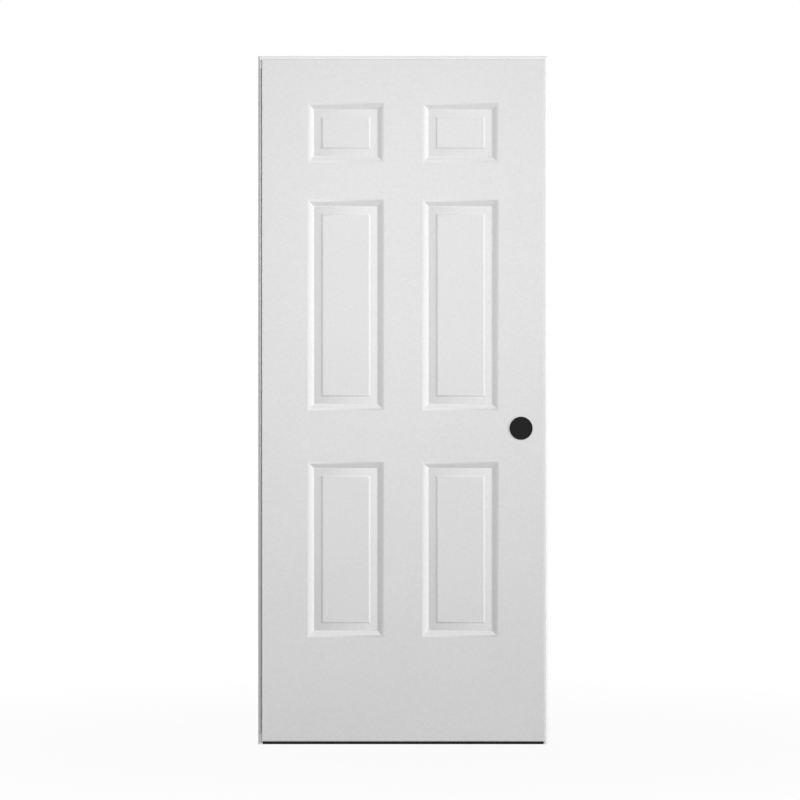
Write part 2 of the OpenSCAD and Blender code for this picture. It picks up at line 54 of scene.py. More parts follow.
# %% [markdown]
# ## Where things are
#
# Most places can be read from the boxes of the CAD nodes. The panels are pressed into the skins,
# so their outlines aren't boxes of their own, and their few numbers are repeated here.

# %% Places read from the CAD, and the panel layout
skin_low, skin_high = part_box("outer_skin")
back_low, back_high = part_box("inner_skin")
jamb_low, jamb_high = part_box("hinge_jamb")
pin_low, pin_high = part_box("hinge_pin")

PANEL_COLUMNS = [(-267.5 * MM, -53.5 * MM), (53.5 * MM, 267.5 * MM)]
PANEL_ROWS = [(1630 * MM, 1797 * MM), (936 * MM, 1526 * MM), (301 * MM, 792 * MM)]
LOCK_X, LOCK_Y, LOCK_Z = 330.2 * MM, -34 * MM, 886 * MM

leaf_front, leaf_back = skin_low.y, back_high.y
frame_front = jamb_low.y
face_w, face_h = skin_high.x - skin_low.x, skin_high.z - skin_low.z
print("leaf face", round(face_w / MM, 1), "x", round(face_h / MM, 1), "mm")

# %% [markdown]
# ## Working by hand, in code
#
# Blender's operators act on what is selected. Each helper below is one habit of working by hand:
# deselect everything, add a primitive at its place, pick faces or edges by where they lie, add a
# modifier and apply it, make a copy, join pieces into one.

# %% Helpers for selecting
def deselect():
    """Leaves edit mode with nothing selected."""
    if bpy.context.mode != "OBJECT":
        bpy.ops.object.mode_set(mode="OBJECT")
    bpy.ops.object.select_all(action="DESELECT")


def take(*pieces):
    """Selects these objects, and makes the first one active."""
    deselect()
    for piece in pieces:
        piece.select_set(True)
    bpy.context.view_layer.objects.active = pieces[0]


def pick(piece, kind, test):
    """Opens edit mode with only the faces or edges selected that pass the test."""
    take(piece)
    bpy.ops.object.mode_set(mode="EDIT")
    bpy.ops.mesh.select_mode(type=kind)
    bpy.ops.mesh.select_all(action="DESELECT")
    bpy.ops.object.mode_set(mode="OBJECT")
    points = piece.data.vertices
    if kind == "FACE":
        for face in piece.data.polygons:
            face.select = bool(test(face.center, face.normal))
    else:
        for edge in piece.data.edges:
            edge.select = bool(test(*(points[i].co for i in edge.vertices)))
    bpy.ops.object.mode_set(mode="EDIT")


def near(a, b):
    """Whether two lengths are the same, to a hundredth of a millimetre."""
    return abs(a - b) < 0.01 * MM


# %% Helpers for adding, copying and joining
TURNS = {"X": (0, QUARTER, 0), "Y": (-QUARTER, 0, 0), "Z": (0, 0, 0)}


def settle(name):
    """Names the new object and moves its place, turn and scale into its mesh."""
    piece = bpy.context.object
    piece.name = piece.data.name = name
    bpy.ops.object.transform_apply(location=True, rotation=True, scale=True)
    return piece


def add_block(name, low, high):
    """A cube primitive, scaled to span two corners."""
    deselect()
    bpy.ops.mesh.primitive_cube_add(size=1, location=[(a + b) / 2 for a, b in zip(low, high)])
    bpy.context.object.scale = [b - a for a, b in zip(low, high)]
    return settle(name)


def add_rod(name, axis, start, length, radius, end_radius=None, sides=32):
    """A cone primitive along an axis; it is a cylinder where both radii are the same."""
    deselect()
    middle = list(start)
    middle["XYZ".index(axis)] += length / 2
    bpy.ops.mesh.primitive_cone_add(
        vertices=sides, radius1=radius, radius2=radius if end_radius is None else end_radius,
        depth=abs(length), location=middle, rotation=TURNS[axis])
    return settle(name)


def copy_to(piece, place, turn=(0, 0, 0)):
    """A copy with its own mesh, turned about the origin and then moved."""
    take(piece)
    bpy.ops.object.duplicate(linked=False)
    made = bpy.context.object
    made.rotation_euler, made.location = turn, place
    return settle(piece.name + "_copy")


def join(name, pieces):
    """Many objects as one."""
    take(*pieces)
    bpy.ops.object.join()
    return settle(name)


# %% Helpers for modifiers and for fitting a piece to its body
def finish_with(piece, kind, **settings):
    """Adds one modifier, sets it, and applies it."""
    take(piece)
    bpy.ops.object.modifier_add(type=kind)
    made = piece.modifiers[-1]
    for key, value in settings.items():
        setattr(made, key, value)
    bpy.ops.object.modifier_apply(modifier=made.name)


def cut(piece, tool, operation="DIFFERENCE"):
    """Cuts a tool's shape out of a piece, or adds it, and throws the tool away."""
    finish_with(piece, "BOOLEAN", object=tool, operation=operation, solver="EXACT")
    bpy.data.objects.remove(tool)


def smooth(piece, angle=32):
    """Smooth shading, kept flat on large faces by weighing normals with face areas."""
    take(piece)
    bpy.ops.object.shade_smooth_by_angle(angle=math.radians(angle))
    finish_with(piece, "WEIGHTED_NORMAL", keep_sharp=True, weight=50)


def fit(piece, body, slot, *nodes):
    """Makes a piece ride on its body, in the place of the CAD nodes it stands for."""
    deselect()
    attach(piece, body)
    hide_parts(*nodes)
    print(piece.name, "has", len(piece.data.polygons), "faces and stands for", ", ".join(nodes))


# %% [markdown]
# ## The two pressed skins
#
# Each face of the leaf is one steel sheet. A press forms all six panels in it: a slope that
# steepens as it falls, a narrow groove, a long low bevel, slightly crowned, and a small step up to
# the raised field. A sculptor might carve this, but a press works in even bands round each panel,
# and the inset operator does just the same: it draws every edge of a face in by one distance and
# sinks the middle. A list of distances and depths, rounded as a press rounds its creases, gives the
# whole moulding.

# %% The outline of the moulding in millimetres, from the edge of a panel inwards
SLOPE_W, SLOPE_LEAD, GROOVE_DEPTH = 17.5, 0.7, 9.0
GROOVE_END, BEVEL_END, BEVEL_DEPTH, BEVEL_LEAD = 18.7, 36.7, 4.8, 1.35
STEP_END, FIELD_DEPTH, CREASE_R = 44.0, 1.5, 0.9
BAND_EDGES = [
    -0.9, -0.5, -0.1, 0.3, 0.9, 2.5, 4.5, 6.5, 8.5, 10.5, 12.5, 14.5, 16.2, 16.9, 17.4, 17.9, 18.4,
    18.9, 19.4, 20.0, 22.0, 24.0, 26.0, 28.0, 30.0, 32.0, 34.0, 35.6, 36.2, 36.8, 37.4, 38.2, 39.0,
    40.0, 41.0, 42.0, 43.0, 44.0, 45.0]


def bent(share, lead):
    """A rise from 0 to 1 that starts steep where the lead is over 1, and gently where it is under."""
    return lead * share + (1 - lead) * share ** 2


def pressed_depth(inset):
    """Depth of the sharp-edged outline at a distance from the panel's edge."""
    if inset <= 0:
        return 0
    if inset < SLOPE_W:
        return GROOVE_DEPTH * bent(inset / SLOPE_W, SLOPE_LEAD)
    if inset < GROOVE_END:
        return GROOVE_DEPTH
    if inset < BEVEL_END:
        share = (inset - GROOVE_END) / (BEVEL_END - GROOVE_END)
        return GROOVE_DEPTH + (BEVEL_DEPTH - GROOVE_DEPTH) * bent(share, BEVEL_LEAD)
    share = min(1, (inset - BEVEL_END) / (STEP_END - BEVEL_END))
    return BEVEL_DEPTH + (FIELD_DEPTH - BEVEL_DEPTH) * share ** 2 * (3 - 2 * share)


def soft_depth(inset, samples=9):
    """The same outline with its creases rounded, as a mean over a short width."""
    offsets = [CREASE_R * (2 * i / (samples - 1) - 1) for i in range(samples)]
    return sum(pressed_depth(inset + offset) for offset in offsets) / samples


bands = [(edge, soft_depth(edge)) for edge in BAND_EDGES]
deepest = max(depth for _, depth in bands)
print("moulding of", len(bands) - 1, "bands, deepest", round(deepest, 2), "mm")


# %% A flat sheet, cut into a grid along the panels' edges, and pressed band by band
def in_a_panel(centre):
    """Whether a point of the leaf's face lies in one of the six panels."""
    in_column = any(a < centre.x < b for a, b in PANEL_COLUMNS)
    return in_column and any(a < centre.z < b for a, b in PANEL_ROWS)


def flat_sheet(name, low, high, y, outwards):
    """A plane primitive in the leaf's face; outwards is -1 for the front and 1 for the back."""
    deselect()
    middle = ((low.x + high.x) / 2, y, (low.z + high.z) / 2)
    bpy.ops.mesh.primitive_plane_add(size=1, location=middle, rotation=(-outwards * QUARTER, 0, 0))
    bpy.context.object.scale = (high.x - low.x, high.z - low.z, 1)
    return settle(name)


def press_panels(sheet):
    """Bisects the sheet round the panels, then insets them once for each band."""
    start = BAND_EDGES[0] * MM
    take(sheet)
    bpy.ops.object.mode_set(mode="EDIT")
    lines = [((a + start, b - start), (1, 0, 0)) for a, b in PANEL_COLUMNS]
    lines += [((a + start, b - start), (0, 0, 1)) for a, b in PANEL_ROWS]
    for places, normal in lines:
        for place in places:
            bpy.ops.mesh.select_all(action="SELECT")
            bpy.ops.mesh.bisect(plane_co=[place * n for n in normal], plane_no=normal)
    pick(sheet, "FACE", lambda centre, normal: in_a_panel(centre))
    for (edge, depth), (next_edge, next_depth) in zip(bands, bands[1:]):
        bpy.ops.mesh.inset(thickness=(next_edge - edge) * MM, depth=(depth - next_depth) * MM,
                           use_individual=True)
    bpy.ops.object.mode_set(mode="OBJECT")


outer = flat_sheet("leaf_outer_skin", skin_low, skin_high, leaf_front, -1)
inner = flat_sheet("leaf_inner_skin", back_low, back_high, leaf_back, 1)
for sheet in (outer, inner):
    press_panels(sheet)
    print(sheet.name, "pressed:", len(sheet.data.polygons), "faces")

# %% [markdown]
# ### Folds and lock preparation
#
# The rim of each sheet is folded. The outer one turns back into a lip that overlaps the frame, runs
# in behind it and then back along the edges of the leaf. Extruding the open border once for each
# fold draws this as a brake press would bend it, and a bevel gives each fold its radius. Thickness
# comes after the folds, and the holes for a lock last, because a cut is clean only in a closed solid.

# %% Fold the borders back
LIP_T, OUTER_RETURN, INNER_RETURN = 8 * MM, 20 * MM, 12 * MM
FOLD_R, SMALL_FOLD_R, SHEET_T = 3 * MM, 0.8 * MM, 0.8 * MM


def pull_border(sheet, offset):
    """Extrudes the open border of a sheet by an offset and leaves it selected."""
    take(sheet)
    bpy.ops.object.mode_set(mode="EDIT")
    bpy.ops.mesh.select_mode(type="EDGE")
    bpy.ops.mesh.select_all(action="DESELECT")
    bpy.ops.mesh.select_non_manifold(
        use_wire=False, use_multi_face=False, use_non_contiguous=False, use_verts=False)
    bpy.ops.mesh.extrude_region_move(TRANSFORM_OT_translate={"value": offset})


def round_folds(sheet, y, low, high, radius, segments):
    """Bevels the edges that run round a rectangle at one depth."""
    def on_rim(a, b):
        upright = near(a.x, b.x) and (near(a.x, low.x) or near(a.x, high.x))
        level = near(a.z, b.z) and (near(a.z, low.z) or near(a.z, high.z))
        return near(a.y, y) and near(b.y, y) and (upright or level)

    pick(sheet, "EDGE", on_rim)
    bpy.ops.mesh.bevel(offset=radius, segments=segments, affect="EDGES")
    bpy.ops.object.mode_set(mode="OBJECT")


def shrink_border(low, high, new_low, new_high):
    """Scales the selected border from one rectangle to another, about the point that stays."""
    share_x = (new_high.x - new_low.x) / (high.x - low.x)
    share_z = (new_high.z - new_low.z) / (high.z - low.z)
    still_x = (new_low.x - share_x * low.x) / (1 - share_x)
    still_z = (new_low.z - share_z * low.z) / (1 - share_z)
    bpy.ops.transform.resize(value=(share_x, 1, share_z), center_override=(still_x, 0, still_z))


lip_back = leaf_front + LIP_T
pull_border(outer, (0, LIP_T, 0))
pull_border(outer, (0, 0, 0))
shrink_border(skin_low, skin_high, back_low, back_high)
pull_border(outer, (0, OUTER_RETURN - LIP_T, 0))
pull_border(inner, (0, -INNER_RETURN, 0))
round_folds(outer, lip_back, back_low, back_high, SMALL_FOLD_R, 3)
round_folds(outer, lip_back, skin_low, skin_high, SMALL_FOLD_R, 3)
round_folds(outer, leaf_front, skin_low, skin_high, FOLD_R, 6)
round_folds(inner, leaf_back, back_low, back_high, FOLD_R, 6)
print("folded:", len(outer.data.polygons), "and", len(inner.data.polygons), "faces")

# %% Give the sheets their thickness and cut the lock preparation
LOCK_BORE_R, LATCH_BORE_R = 27 * MM, 12.7 * MM
LATCH_PLATE_H, LATCH_PLATE_T, BACKSET = 57.2 * MM, 3.2 * MM, 60.3 * MM
SPARE, BORE_SIDES = 2 * MM, 96  # a cutting tool overshoots by the spare length
latch_edge = LOCK_X + BACKSET
bore_start, bore_length = (LOCK_X, leaf_front - SPARE, LOCK_Z), leaf_back - leaf_front + 2 * SPARE
plate_low = (latch_edge - LATCH_PLATE_T, LOCK_Y - LATCH_BORE_R, LOCK_Z - LATCH_PLATE_H / 2)
plate_high = (latch_edge + SPARE, LOCK_Y + LATCH_BORE_R, LOCK_Z + LATCH_PLATE_H / 2)

for sheet in (outer, inner):
    finish_with(sheet, "SOLIDIFY", thickness=SHEET_T, offset=-1, use_even_offset=True)
    cut(sheet, add_rod("bore", "Y", bore_start, bore_length, LOCK_BORE_R, sides=BORE_SIDES))
    cut(sheet, add_block("plate", plate_low, plate_high))
    smooth(sheet)

fit(outer, "leaf", "leaf_paint", "outer_skin")
fit(inner, "leaf", "leaf_paint", "inner_skin")

# %% [markdown]
# ## Screws
#
# Flat-headed screws hold the hinge and join the two bore covers. One could fake the cross in the
# head with a dark picture, but it is seen from many sides, so each screw is modelled once: a cone
# for the head, extruded on into a shank with a point, and a tapered cross cut into the head. Copies
# then go to every hole.

# %% One screw with a cross recess, lying along Z with its head at zero
SCREW_R, SCREW_HEAD_R, SCREW_FIT = 1.9 * MM, 3.3 * MM, 0.1 * MM
CROSS_REACH, CROSS_W, CROSS_DEPTH, CROSS_TAPER = 1.9 * MM, 0.95 * MM, 1.3 * MM, 0.45
BLADE_LOW, BLADE_TOP = -0.2 * MM, 0.1 * MM
POINT_L, POINT_SHARE, EDGE_R, EDGE_ANGLE = 3 * MM, 0.25, 0.08 * MM, math.radians(30)
FACING = 0.9  # a face counts as square to an axis from this share of its normal


def push_end(piece, end, rise, share=None):
    """Extrudes the end face at one height along Z, and narrows it if a share is given."""
    pick(piece, "FACE", lambda centre, normal: near(centre.z, end) and abs(normal.z) > FACING)
    bpy.ops.mesh.extrude_region_move(TRANSFORM_OT_translate={"value": (0, 0, rise)})
    if share:
        bpy.ops.transform.resize(value=(share, share, share), center_override=(0, 0, end + rise))
    bpy.ops.object.mode_set(mode="OBJECT")


def cross_tool():
    """The shape of a screwdriver's tip: two crossed blades that narrow with depth."""
    blades = []
    for reach_x, reach_y in ((CROSS_REACH, CROSS_W / 2), (CROSS_W / 2, CROSS_REACH)):
        blade = add_block("blade", (-reach_x, -reach_y, BLADE_LOW), (reach_x, reach_y, BLADE_TOP))
        push_end(blade, BLADE_TOP, CROSS_DEPTH - BLADE_TOP, CROSS_TAPER)
        blades.append(blade)
    cut(blades[0], blades[1], "UNION")
    return blades[0]


def flat_head_screw(name, head_h, length):
    """A screw of this length, whose head tapers over its height into the shank."""
    screw = add_rod(name, "Z", (0, 0, 0), head_h, SCREW_HEAD_R, SCREW_R)
    push_end(screw, head_h, length - head_h - POINT_L)
    push_end(screw, length - POINT_L, POINT_L, POINT_SHARE)
    cut(screw, cross_tool())
    finish_with(screw, "BEVEL", width=EDGE_R, segments=2, limit_method="ANGLE",
                angle_limit=EDGE_ANGLE)
    smooth(screw)
    return screw


# %% Put the screws in their holes
HINGE_SCREWS, PLATE_T, SCREW_V, COVER_T = 12, 1.2 * MM, 13 * MM, 2.5 * MM
POST_REACH = 17 * MM
screw_pitch = (pin_high.z - pin_low.z) / HINGE_SCREWS
frame_face_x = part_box("hinge_frame_screws")[1].x
leaf_face_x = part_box("hinge_leaf_screws")[0].x
screw_y = frame_front + SCREW_V

screw_sets = [
    ("screws_in_hinge_jamb", "frame", "hinge_frame_screws", PLATE_T, 9 * MM, (0, -QUARTER, 0),
     [(frame_face_x, screw_y, pin_low.z + (i + 0.5) * screw_pitch) for i in range(HINGE_SCREWS)]),
    ("screws_in_hinge_stile", "leaf", "hinge_leaf_screws", PLATE_T, 25 * MM, (0, QUARTER, 0),
     [(leaf_face_x, screw_y, pin_low.z + i * screw_pitch) for i in range(1, HINGE_SCREWS)]),
    ("screws_in_bore_covers", "leaf", "bore_cover_screws", COVER_T, 30 * MM, (QUARTER, 0, 0),
     [(LOCK_X, leaf_back + COVER_T, LOCK_Z + side * POST_REACH) for side in (-1, 1)]),
]
screws = []
for name, body, node, head_h, length, turn, places in screw_sets:
    pattern = flat_head_screw("screw", head_h, length)
    screws.append(join(name, [copy_to(pattern, place, turn) for place in places]))
    bpy.data.objects.remove(pattern)
    fit(screws[-1], body, "hinge_steel", node)

# %% [markdown]
# ## The two bore covers
#
# Until a lock is fitted, a black plastic cover closes the round bore on each side of the leaf. Each
# is a disc with a rounded rim and a collar that centres it in the bore. A disc turned from an
# outline would do, but starting from a cylinder and working its end faces with inset and extrude
# shows the same thing in fewer steps.

# %% Model both covers
COVER_R, COLLAR_R, COLLAR_WALL, COLLAR_L = 32.25 * MM, 26.7 * MM, 2.5 * MM, 7 * MM
RIM_R, POST_R, POST_L, CORE_L = 0.8 * MM, 4.5 * MM, 28 * MM, 30 * MM
COVER_SIDES = 128


def bore_cover(name, face_y, inwards):
    """A cover whose face lies at one depth; inwards is 1 for the outer and -1 for the inner one."""
    back_y = face_y + inwards * COVER_T
    cover = add_rod(name, "Y", (LOCK_X, face_y, LOCK_Z), inwards * COVER_T, COVER_R, sides=COVER_SIDES)
    pick(cover, "EDGE", lambda a, b: near(a.y, face_y) and near(b.y, face_y))
    bpy.ops.mesh.bevel(offset=RIM_R, segments=4, affect="EDGES")
    pick(cover, "FACE", lambda centre, normal: near(centre.y, back_y) and abs(normal.y) > FACING)
    bpy.ops.mesh.inset(thickness=COVER_R - COLLAR_R)
    bpy.ops.mesh.extrude_region_move(TRANSFORM_OT_translate={"value": (0, inwards * COLLAR_L, 0)})
    bpy.ops.mesh.inset(thickness=COLLAR_WALL)
    bpy.ops.mesh.extrude_region_move(TRANSFORM_OT_translate={"value": (0, -inwards * COLLAR_L, 0)})
    bpy.ops.object.mode_set(mode="OBJECT")
    return cover


cover_outer = bore_cover("bore_cover_outside", leaf_front - COVER_T, 1)
cover_inner = bore_cover("bore_cover_inside", leaf_back + COVER_T, -1)
hole_r, sink_r = SCREW_R + SCREW_FIT, SCREW_HEAD_R + SCREW_FIT
post_y, core_y = leaf_front - COVER_T / 2, leaf_back + COVER_T - CORE_L
for side in (-1, 1):
    post_z = LOCK_Z + side * POST_REACH
    cut(cover_outer, add_rod("post", "Y", (LOCK_X, post_y, post_z), POST_L, POST_R), "UNION")
    cut(cover_outer, add_rod("core", "Y", (LOCK_X, core_y, post_z), CORE_L, hole_r))
    sink_start = (LOCK_X, leaf_back - SPARE, post_z)
    cut(cover_inner, add_rod("sink", "Y", sink_start, COVER_T + SPARE, hole_r, sink_r))
for cover, node in ((cover_outer, "bore_cover_outer"), (cover_inner, "bore_cover_inner")):
    smooth(cover)
    fit(cover, "leaf", "cover_plastic", node)

# %% [markdown]
# ## Shader maths
#
# A finish is a small network of nodes. Written node by node it is long and hard to read, so one
# class wraps a socket and lets the plain signs of arithmetic add the Math nodes, and one method
# makes any other node. Patterns read Object coordinates: pieces sit at the origin, so these are
# metres in the door's own frame, and a pattern has the same size on every piece.

# %% A wrapped socket, and a finish that makes nodes
class Wire:
    """A node's output that can stand in a sum."""

    def __init__(self, network, socket):
        self.network, self.socket = network, socket

    def _math(self, operation, first, second):
        return self.network.node("Math", {"operation": operation}, {0: first, 1: second})

    def __add__(self, other):
        return self._math("ADD", self, other)

    def __sub__(self, other):
        return self._math("SUBTRACT", self, other)

    def __rsub__(self, other):
        return self._math("SUBTRACT", other, self)

    def __mul__(self, other):
        return self._math("MULTIPLY", self, other)

    def __pow__(self, other):
        return self._math("POWER", self, other)

    __radd__ = __add__
    __rmul__ = __mul__


class Network:
    """A tree of nodes, of a material or of the world."""

    def __init__(self, owner):
        owner.use_nodes = True
        self.tree = owner.node_tree
        self.place = self.node("TexCoord", out="Object")

    def node(self, kind, settings=None, sockets=None, out=0):
        """Any node, with its settings, the values or wires of its sockets, and one wrapped output."""
        made = self.tree.nodes.new("ShaderNode" + kind)
        for key, value in (settings or {}).items():
            setattr(made, key, value)
        for key, value in (sockets or {}).items():
            self.plug(made.inputs[key], value)
        return Wire(self, made.outputs[out])

    def plug(self, socket, value):
        """Links a wire to a socket, or sets the socket to a plain value."""
        if isinstance(value, Wire):
            self.tree.links.new(value.socket, socket)
        else:
            socket.default_value = value

    def noise(self, scale, detail=2.0, roughness=0.5, stretch=(1, 1, 1)):
        """Noise of about this many grains to the metre, drawn out by a stretch along each axis."""
        spot = self.node("Mapping", None, {"Vector": self.place, "Scale": [1 / s for s in stretch]})
        return self.node("TexNoise", None, {
            "Vector": spot, "Scale": scale, "Detail": detail, "Roughness": roughness})

    def steps(self, value, low, high):
        """A value spread so that low becomes 0 and high becomes 1, cut off outside."""
        return self.node("MapRange", None, {"Value": value, "From Min": low, "From Max": high})

    def mix(self, share, first, second):
        """A blend of two colours, each three numbers or a wire."""
        ends = [c if isinstance(c, Wire) else (*c, 1) for c in (first, second)]
        return self.node("Mix", {"data_type": "RGBA"}, {0: share, 6: ends[0], 7: ends[1]}, out=2)

    def seen(self):
        """1 for what the camera sees, also in mirror or through glass, and 0 for other light."""
        total = 0
        for kind in ("Camera", "Glossy", "Transmission"):
            ray = self.node("LightPath", out="Is " + kind + " Ray")
            total = self.node("Math", {"operation": "MAXIMUM"}, {0: ray, 1: total})
        return total


class Finish(Network):
    """A material built on one Principled shader."""

    def __init__(self, name, **constants):
        self.material = bpy.data.materials.new(name)
        super().__init__(self.material)
        self.shader = self.tree.nodes["Principled BSDF"]
        for socket, value in constants.items():
            self.shader.inputs[socket.replace("_", " ")].default_value = value
        print("finish:", name)

    def colour(self, value):
        self.plug(self.shader.inputs["Base Color"], value)

    def roughness(self, value):
        self.plug(self.shader.inputs["Roughness"], value)

    def relief(self, height, depth):
        """Fine relief, as high as a depth in metres where the height is 1."""
        bump = self.node("Bump", None, {"Height": height, "Distance": depth, "Strength": 1.0},
                         out="Normal")
        self.plug(self.shader.inputs["Normal"], bump)


def grey(level):
    """A colour without a hue."""
    return (level, level, level)


# %% [markdown]
# ## Finishes
#
# The leaf carries a factory coat of white satin primer. Close up it isn't smooth: the spray leaves
# a fine stipple and a broader relief like the peel of an orange, the tone drifts a little, and the
# sheet below is never quite flat. One noise for each of these, from fine to broad, is closer to
# this than one noise of many octaves. The orange peel is so low that it hardly shows as relief, so
# its pattern also goes into the colour as painted light and shade. The frame is powder coated,
# whiter and with a finer grain.

# %% White primer on the leaf, and powder coat on the frame
PRIMER_DULL, PRIMER_BRIGHT = (0.725, 0.727, 0.73), (0.835, 0.835, 0.833)
COAT_DULL, COAT_BRIGHT = (0.89, 0.892, 0.895), (0.93, 0.93, 0.928)

leaf_paint = Finish("leaf_primer", Specular_IOR_Level=0.35)
drift = leaf_paint.noise(5.0, 3.0)
stipple = leaf_paint.noise(620.0, 3.0, 0.6)
# The peel makes a relief, and it also makes painted light and shade in the colour: lighter on its
# bumps and darker in its hollows. Drift and stipple are the coat's own tone.
peel_bumps_and_shade = leaf_paint.steps(leaf_paint.noise(130.0, 3.0, 0.65), 0.3, 0.7)
dents = leaf_paint.noise(9.0, 1.0)
coat_tone_and_painted_shade = drift * 0.4 + stipple * 0.2 + peel_bumps_and_shade * 0.4
leaf_paint.colour(leaf_paint.mix(coat_tone_and_painted_shade, PRIMER_DULL, PRIMER_BRIGHT))
leaf_paint.roughness(0.44 + drift * 0.08 + stipple * 0.10)
leaf_paint.relief(stipple + peel_bumps_and_shade + dents * 1.5, 0.05 * MM)

frame_coat = Finish("frame_powder_coat", Specular_IOR_Level=0.45)
grain = frame_coat.noise(950.0, 2.0, 0.55)
cloud = frame_coat.noise(14.0, 2.0)
frame_coat.colour(frame_coat.mix(grain * 0.5 + cloud * 0.5, COAT_DULL, COAT_BRIGHT))
frame_coat.roughness(0.36 + grain * 0.12 + cloud * 0.06)
frame_coat.relief(grain, 0.04 * MM)

# %% [markdown]
# The sill is an extrusion in dark bronze anodising. Its die leaves fine lines along its length, so
# its noise is stretched along X. Feet scuff the ribs of the tread to a lighter tone, and these
# scuffs could be painted by hand, but tying them to the height keeps them on the ribs by itself.

# %% Bronze anodising with die lines and scuffs
BRONZE_DARK, BRONZE_PALE = (0.010, 0.009, 0.008), (0.028, 0.025, 0.022)
BRONZE_WORN = (0.20, 0.19, 0.18)
WORN_FROM, WORN_TO = 0.8 * MM, 0.1 * MM

sill_bronze = Finish("sill_bronze_anodised", Specular_IOR_Level=0.2, Metallic=0.55)
die_lines = sill_bronze.noise(1.0, 4.0, 0.6, stretch=(0.6, 0.0011, 0.0011))
scuffs = sill_bronze.noise(38.0, 6.0, 0.7, stretch=(2.2, 1, 1))
height = sill_bronze.node("SeparateXYZ", None, {0: sill_bronze.place}, out="Z")
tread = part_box("sill")[1].z
on_ribs = sill_bronze.steps(height, tread - WORN_FROM, tread - WORN_TO)
worn = on_ribs * sill_bronze.steps(scuffs, 0.56, 0.72)
bronze = sill_bronze.mix(die_lines, BRONZE_DARK, BRONZE_PALE)
sill_bronze.colour(sill_bronze.mix(worn * 0.55, bronze, BRONZE_WORN))
sill_bronze.roughness(0.34 + die_lines * 0.16 + worn * 0.2)
sill_bronze.relief(die_lines, 0.03 * MM)

# %% [markdown]
# Hinge and screws are zinc plated. The plating has a faint crystal pattern and a few warm and
# cool tints. Noise would only blur them, so cells of different tone are used, with a haze over
# them. The corner keys are bare extruded alloy, with lines along the way they were drawn.

# %% Zinc plating and bare alloy
ZINC_COOL, ZINC_WARM = (0.34, 0.35, 0.37), (0.50, 0.49, 0.47)
ALLOY_DULL, ALLOY_BRIGHT = grey(0.58), (0.74, 0.74, 0.76)

zinc = Finish("zinc_plated_steel", Metallic=1.0)
crystals = zinc.node("TexVoronoi", {"distance": "CHEBYCHEV"}, {"Vector": zinc.place, "Scale": 420.0},
                     out="Color")
tone = zinc.node("SeparateColor", None, {0: crystals}, out="Red")
haze = zinc.noise(60.0, 4.0)
zinc.colour(zinc.mix(tone * 0.5 + haze * 0.5, ZINC_COOL, ZINC_WARM))
zinc.roughness(0.42 + tone * 0.10 + haze * 0.14)
zinc.relief(haze + tone * 0.3, 0.015 * MM)

alloy = Finish("mill_finish_alloy", Metallic=1.0)
draw = alloy.noise(1.0, 4.0, 0.6, stretch=(0.002, 0.3, 0.002))
alloy.colour(alloy.mix(draw, ALLOY_DULL, ALLOY_BRIGHT))
alloy.roughness(0.34 + draw * 0.2)
alloy.relief(draw, 0.02 * MM)

# %% [markdown]
# Inside the leaf, softwood stiles and rails frame a block of foam. The wood shows in the narrow
# slot between the skins along the leaf's edges. Early and late wood alternate in rings, so noise is
# folded to and fro into bands, and drawn out along each piece. Foam is a mass of small closed cells.

# %% Softwood, along Z for stiles and along X for rails, and foam
EARLY_WOOD, LATE_WOOD = (0.66, 0.47, 0.27), (0.43, 0.25, 0.11)
CELL_MIDDLE, CELL_WALL = (0.86, 0.85, 0.80), (0.70, 0.69, 0.63)


def softwood(name, stretch):
    """Planed softwood whose grain runs along the longest stretch."""
    wood = Finish(name, Specular_IOR_Level=0.3)
    rings = wood.noise(55.0, 3.0, 0.5, stretch=stretch)
    fibre = wood.noise(900.0, 3.0, 0.6, stretch=stretch)
    band = wood.node("Math", {"operation": "PINGPONG"}, {0: rings * 9.0, 1: 1.0}) ** 2.0
    wood.colour(wood.mix(band * 0.75 + fibre * 0.25, EARLY_WOOD, LATE_WOOD))
    wood.roughness(0.62 + fibre * 0.2)
    wood.relief(fibre + band * 0.5, 0.08 * MM)
    return wood


upright_wood = softwood("softwood_upright", (1, 1, 18))
level_wood = softwood("softwood_level", (18, 1, 1))

foam = Finish("insulation_foam", Specular_IOR_Level=0.2)
cells = foam.node("TexVoronoi", None, {"Vector": foam.place, "Scale": 700.0})
foam.colour(foam.mix(cells, CELL_MIDDLE, CELL_WALL))
foam.roughness(0.85 + cells * 0.1)
foam.relief(1 - cells, 0.4 * MM)

# %% [markdown]
# The seals are extruded rubber: matt, nearly black, with a grey bloom and lines along their length.
# The bore covers are moulded plastic, whose mould gives a fine spark-eroded grain. Both are so dark
# that their colour hardly changes, and roughness and relief have to tell them apart.

# %% Rubber and moulded plastic
RUBBER_BLACK, RUBBER_BLOOM = grey(0.012), (0.035, 0.035, 0.037)
PLASTIC_DARK, PLASTIC_PALE = grey(0.009), grey(0.014)


def seal_rubber(name, stretch):
    """Extruded rubber whose lines run along the longest stretch."""
    rubber = Finish(name, Specular_IOR_Level=0.3)
    lines = rubber.noise(1.0, 3.0, 0.6, stretch=stretch)
    bloom = rubber.noise(25.0, 4.0, 0.6)
    rubber.colour(rubber.mix(bloom * 0.7 + lines * 0.3, RUBBER_BLACK, RUBBER_BLOOM))
    rubber.roughness(0.6 + bloom * 0.2)
    rubber.relief(lines, 0.05 * MM)
    return rubber


upright_rubber = seal_rubber("rubber_upright", (0.0012, 0.0012, 0.4))
level_rubber = seal_rubber("rubber_level", (0.4, 0.0012, 0.0012))

cover_plastic = Finish("moulded_black_plastic", Specular_IOR_Level=0.1)
spark = cover_plastic.noise(1500.0, 3.0, 0.6)
shade = cover_plastic.noise(40.0, 2.0)
cover_plastic.colour(cover_plastic.mix(spark * 0.5 + shade * 0.5, PLASTIC_DARK, PLASTIC_PALE))
cover_plastic.roughness(0.58 + spark * 0.16)
cover_plastic.relief(spark, 0.03 * MM)

# %% [markdown]
# Each finish now goes onto its pieces. Pieces modelled here are listed themselves, and CAD nodes,
# which keep their own meshes, by name.

